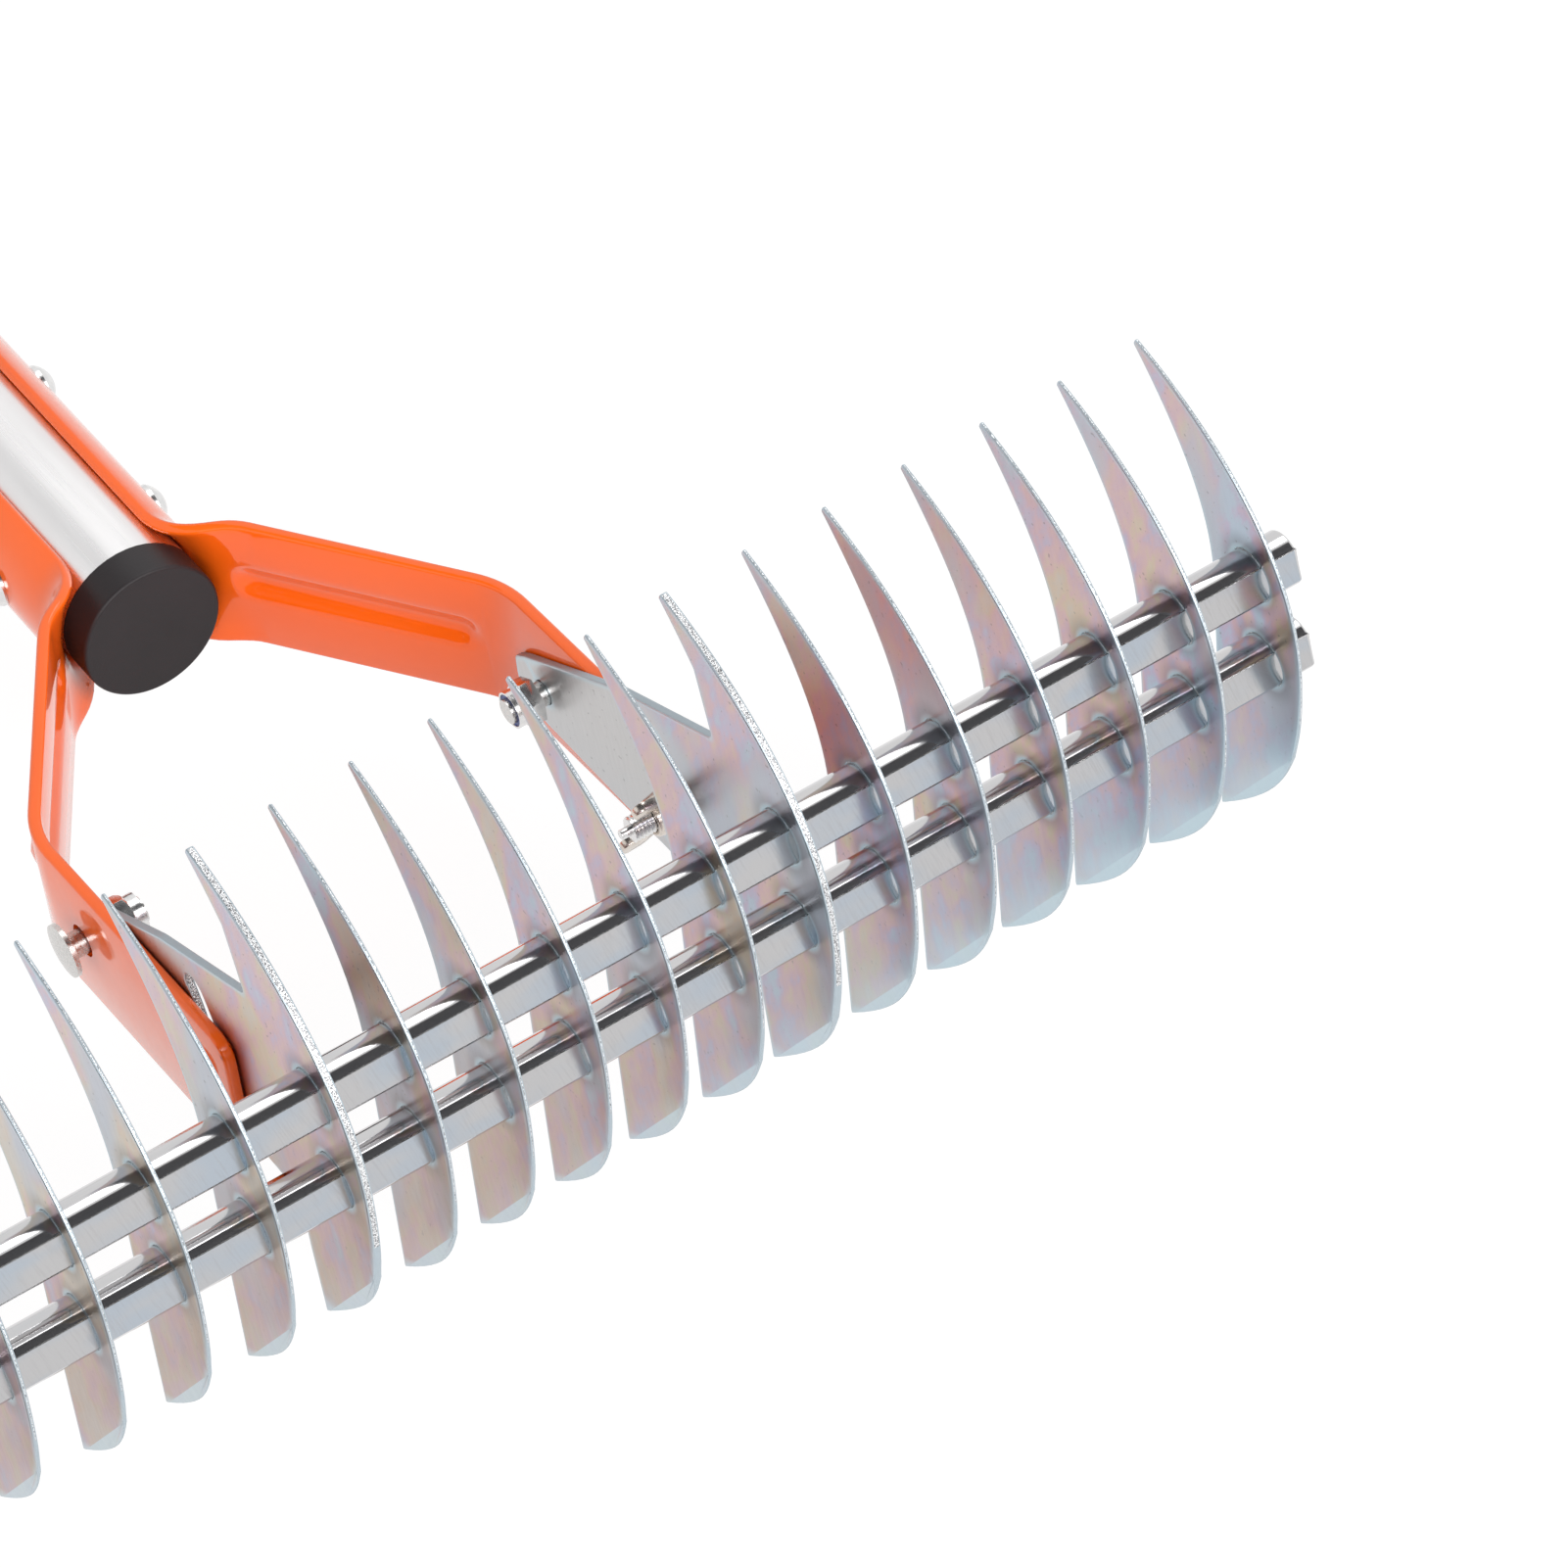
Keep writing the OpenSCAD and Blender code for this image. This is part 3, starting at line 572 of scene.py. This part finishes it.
# Round each rod a painted shade darkens the film where the rod's shade and dark reflection fall,
# with a painted blue-green shadow ring at the edge of the hole
painted_bore_highlight = None
for rod_y, rod_z in rod_middles.values():
    rod_side = wire.node("ShaderNodeVectorMath", {"operation": "SUBTRACT"},
                         {0: place, 1: (0, rod_y, rod_z)})
    rod_side = wire.node("ShaderNodeVectorMath", {"operation": "MULTIPLY"},
                         {0: rod_side, 1: (0, 1, 1)})
    from_rod = wire.node("ShaderNodeVectorMath", {"operation": "LENGTH"},
                         {0: rod_side}, out="Value")
    # Painted shade and reflection of the rod: darkest at the rod and fading out within 6 mm
    painted_rod_shade = 1 - from_rod.step(rod_r, rod_r + 0.006)
    face_colour = (0.5 * painted_rod_shade).tint(face_colour, (0.085, 0.085, 0.095, 1))
    # Painted shadow: a thin blue-green ring at the edge of the hole
    painted_hole_shadow = 1 - from_rod.step(hole_r, hole_r + 0.0006)
    face_colour = (0.7 * painted_hole_shadow).tint(face_colour, (0.06, 0.17, 0.22, 1))
    # The bore walls take a painted highlight: pale and less metallic, so the gaps round the rods
    # show bright
    in_bore = 1 - from_rod.step(hole_r - 0.0001, hole_r + 0.0001)
    painted_bore_highlight = in_bore if painted_bore_highlight is None else painted_bore_highlight + in_bore
specks = wire.noise((700, 700, 700), 1).step(0.70, 0.76)
face_colour = (0.5 * specks).tint(face_colour, (0.16, 0.15, 0.15, 1))

# The heels are bluer to the right and warmer to the left; rims carry a pale painted highlight and
# facets are palest
inside = wire.node("ShaderNodeAttribute", {"attribute_name": "from_rim"}, out="Fac")
# Painted highlight: a pale band about 2 mm wide along every rim of the faces
painted_rim_highlight = 1 - inside.step(0.0001, 0.0019)
ground = wire.node("ShaderNodeAttribute", {"attribute_name": "ground"}, out="Fac")
heel = (1 - height.step(0.012, 0.062)) * along.step(-0.02, 0.16)
face_colour = (0.5 * heel).tint(face_colour, (0.44, 0.54, 0.62, 1))
far_left = (1 - along.step(-0.06, 0.1)) * (1 - height.step(0.05, 0.09))
face_colour = (0.35 * far_left).tint(face_colour, (0.39, 0.24, 0.21, 1))
past_facet = ((back - facet_start[0]) * facet_ahead[0]
              + (height - facet_start[1]) * facet_ahead[1])
thinned = (past_facet + 0.008 * patches - 0.004).step(-0.009, 0.001)
thinned = thinned * height.step(-0.01, 0.012) * (0.12 + 0.5 * along.step(0.0, 0.15))
face_colour = thinned.tint(face_colour, (0.47, 0.59, 0.66, 1))
rim_highlight_and_pale_facet = wire.math("MAXIMUM", 0.7 * painted_rim_highlight, 0.75 * ground)
face_colour = rim_highlight_and_pale_facet.tint(face_colour, (0.48, 0.61, 0.67, 1))

# Edges: smooth plating with a painted highlight in the holes, and broken grain where the sheet
# was sheared
edge = wire.node("ShaderNodeAttribute", {"attribute_name": "edge"}, out="Fac")
sheared = wire.node("ShaderNodeAttribute", {"attribute_name": "sheared"}, out="Fac")
grain = wire.noise((3300, 3300, 3300), 1).step(0.36, 0.6)
# Plain edges are dark plating and the bores are painted pale as a highlight
edge_with_bore_highlight = painted_bore_highlight.tint((0.36, 0.42, 0.46, 1), (0.86, 0.94, 0.97, 1))
grain_colour = grain.tint((0.20, 0.20, 0.21, 1), (0.86, 0.87, 0.88, 1))
edge_colour = sheared.tint(edge_with_bore_highlight, grain_colour)
wire.surface({
    "Metallic": 1 - edge * (1 - sheared) * (0.4 + 0.55 * painted_bore_highlight),
    "Base Color": edge.tint(face_colour, edge_colour),
    "Roughness": 0.26 + 0.14 * fine + 0.1 * edge,
    "Normal": wire.bump(sheared * grain + 0.03 * fine, 0.0001),
})


def ahead_of_facet(place):
    """How far a place is in front of the line that the heel's facet starts from."""
    return ((place.y - facet_start[0]) * facet_ahead[0]
            + (place.z - facet_start[1]) * facet_ahead[1])


def stamped_blade(node):
    """A blade with broken edges, within its sheet, and with faces small enough for marks."""
    blade = merged_copy(node, "stamped_" + node, flatten=True)
    break_edges(blade, edge_break, segments=2, sharper=50,
                keep=lambda middle: ahead_of_facet(middle) < -facet_room)
    break_edges(blade, heel_break, segments=1, sharper=50,
                keep=lambda middle: ahead_of_facet(middle) >= -facet_room)
    start_edit(blade)
    bpy.ops.mesh.select_all(action="SELECT")
    bpy.ops.mesh.remove_doubles(threshold=sliver)
    bpy.ops.mesh.select_all(action="DESELECT")
    bpy.ops.mesh.select_mode(type="FACE")
    bpy.ops.object.mode_set(mode="OBJECT")
    mesh = blade.data
    low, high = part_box(node)
    for vertex in mesh.vertices:
        vertex.co.x = min(max(vertex.co.x, low.x), high.x)
    mesh.update()
    for face in mesh.polygons:
        face.select = abs(face.normal.x) > face_tilt
    bpy.ops.object.mode_set(mode="EDIT")
    bpy.ops.mesh.quads_convert_to_tris()
    bpy.ops.mesh.subdivide(number_cuts=3)
    bpy.ops.object.mode_set(mode="OBJECT")
    return blade


def mark_surface(blade):
    """Writes where the faces, the rims, the facet and the sheared edge of a blade are."""
    mesh = blade.data
    kinds = {}
    for name, domain in (("from_rim", "POINT"), ("ground", "FACE"),
                         ("edge", "FACE"), ("sheared", "FACE")):
        kinds[name] = mesh.attributes.new(name, "FLOAT", domain).data
    rim_points = set()
    for face in mesh.polygons:
        flatness = abs(face.normal.x)
        kinds["ground"][face.index].value = float(
            -facet_tilt < face.normal.x < -face_tilt and ahead_of_facet(face.center) > 0)
        kinds["edge"][face.index].value = float(flatness < face_tilt)
        kinds["sheared"][face.index].value = float(
            flatness < shear_tilt and face.normal.y < -shear_front
            and face.center.z > shear_above)
        if flatness < face_tilt:
            rim_points.update(face.vertices)
    outline = KDTree(len(rim_points))
    for index in rim_points:
        outline.insert(mesh.vertices[index].co, index)
    outline.balance()
    for vertex in mesh.vertices:
        _, _, distance = outline.find(vertex.co)
        kinds["from_rim"][vertex.index].value = distance


plain_places = (1, 2, 4, 5, 6, 7, 8, 9)
blade_nodes = ["ear_blade_left", "ear_blade_right"]
blade_nodes += ["blade_left_%d" % number for number in reversed(plain_places)]
blade_nodes += ["blade_middle"]
blade_nodes += ["blade_right_%d" % number for number in plain_places]
for node in blade_nodes:
    blade = stamped_blade(node)
    mark_surface(blade)
    bpy.ops.object.shade_smooth_by_angle(angle=math.radians(20))
    blade.data.materials.append(iridescent_zinc)
    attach(blade, "head")
    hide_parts(node)


# Studio: a plain white floor that keeps a faint shadow, a white surround, two wide soft fills in
# front, and a lamp and two dark panels overhead that only reflections show.
floor_drop = 0.0003
head_middle = Vector((0, -0.70, 0.06))
lamp_side = 0.90


def looked_at(wire):
    """1 where the camera looks, straight, in a mirror or through glass, and 0 for other light."""
    seen = wire.node("ShaderNodeLightPath", out="Is Camera Ray")
    shine = wire.node("ShaderNodeLightPath", out="Is Glossy Ray")
    through = wire.node("ShaderNodeLightPath", out="Is Transmission Ray")
    return wire.math("MINIMUM", seen + shine + through, 1)


bpy.ops.object.select_all(action="DESELECT")
bpy.ops.mesh.primitive_plane_add(size=9, location=(0, 0, -floor_drop))
floor = active_piece("floor")
white_floor, wire = new_finish("white_floor")
faint = wire.node("ShaderNodeBsdfDiffuse", {}, {"Color": (0.13, 0.13, 0.13, 1)})
glow = wire.node("ShaderNodeEmission", {}, {"Color": (1, 1, 1, 1), "Strength": 0.91})
shown = wire.node("ShaderNodeAddShader", {}, {0: faint, 1: glow})
bounced = wire.node("ShaderNodeBsdfDiffuse", {}, {"Color": (0.8, 0.8, 0.8, 1)})
mixed = wire.node("ShaderNodeMixShader", {}, {0: looked_at(wire), 1: bounced, 2: shown})
output = white_floor.node_tree.nodes["Material Output"]
white_floor.node_tree.links.new(mixed.socket, output.inputs["Surface"])
floor.data.materials.append(white_floor)

world = bpy.data.worlds.new("white_room")
bpy.context.scene.world = world
world.use_nodes = True
wire = Wire(world.node_tree)
wire.fill(world.node_tree.nodes["Background"], {
    "Color": (1, 1, 1, 1),
    "Strength": 0.62 + 0.38 * looked_at(wire),
})

for name, lamp_size, lamp_power, lamp_place, lit_place in (
        ("overhead_lamp", (1.5, 0.70), 10.1, Vector((lamp_side, -0.05, 1.45)),
         head_middle + Vector((lamp_side, 0, 0))),
        ("left_fill", (1.4, 1.4), 42, Vector((-lamp_side, -2.4, 1.2)), head_middle),
        ("right_fill", (1.4, 1.4), 32, Vector((lamp_side, -2.4, 1.2)), head_middle)):
    light = bpy.data.lights.new(name, "AREA")
    light.shape = "RECTANGLE"
    light.size, light.size_y = lamp_size
    light.energy = lamp_power
    lamp = bpy.data.objects.new(name, light)
    bpy.context.scene.collection.objects.link(lamp)
    lamp.visible_camera = False
    lamp.visible_diffuse = name != "overhead_lamp"
    lamp.matrix_world = Matrix.Translation(lamp_place) @ (
        lamp_place - lit_place).to_track_quat("Z", "Y").to_matrix().to_4x4()

dark_cloth, wire = new_finish("dark_cloth")
wire.surface({
    "Base Color": (0.02, 0.02, 0.02, 1),
    "Roughness": 1.0,
    "Emission Color": (0.05, 0.05, 0.055, 1),
    "Emission Strength": 1.0,
})
for name, panel_size, panel_place in (
        ("front_panel", (3.8, 0.97, 1), (0.25, -1.085, 1.5)),
        ("left_panel", (1.5, 2.15, 1), (-0.65, -0.525, 1.52))):
    bpy.ops.object.select_all(action="DESELECT")
    bpy.ops.mesh.primitive_plane_add(size=1, location=panel_place)
    panel = active_piece(name)
    panel.scale = panel_size
    bpy.ops.object.transform_apply()
    panel.data.materials.append(dark_cloth)
    panel.visible_camera = False
    panel.visible_diffuse = False
    panel.visible_shadow = False
    panel.visible_transmission = False


# Camera: a long lens above the front left corner, close to the head, so that the handle and
# the left end of the blade row run out of the picture.
lens = bpy.data.cameras.new("camera")
lens.lens = 155.7
lens.sensor_width = 36
camera = bpy.data.objects.new("camera", lens)
bpy.context.scene.collection.objects.link(camera)
camera_place = Vector((-0.4181, -1.5553, 1.1297))
forward = Vector((0.3384, 0.5925, -0.7310)).normalized()
right = Vector((0.8239, -0.5620, -0.0741))
right = (right - forward * right.dot(forward)).normalized()
up = right.cross(forward)
camera.matrix_world = Matrix((
    (right.x, up.x, -forward.x, camera_place.x),
    (right.y, up.y, -forward.y, camera_place.y),
    (right.z, up.z, -forward.z, camera_place.z),
    (0, 0, 0, 1)))
bpy.context.scene.camera = camera
bpy.context.scene.view_settings.view_transform = "Standard"
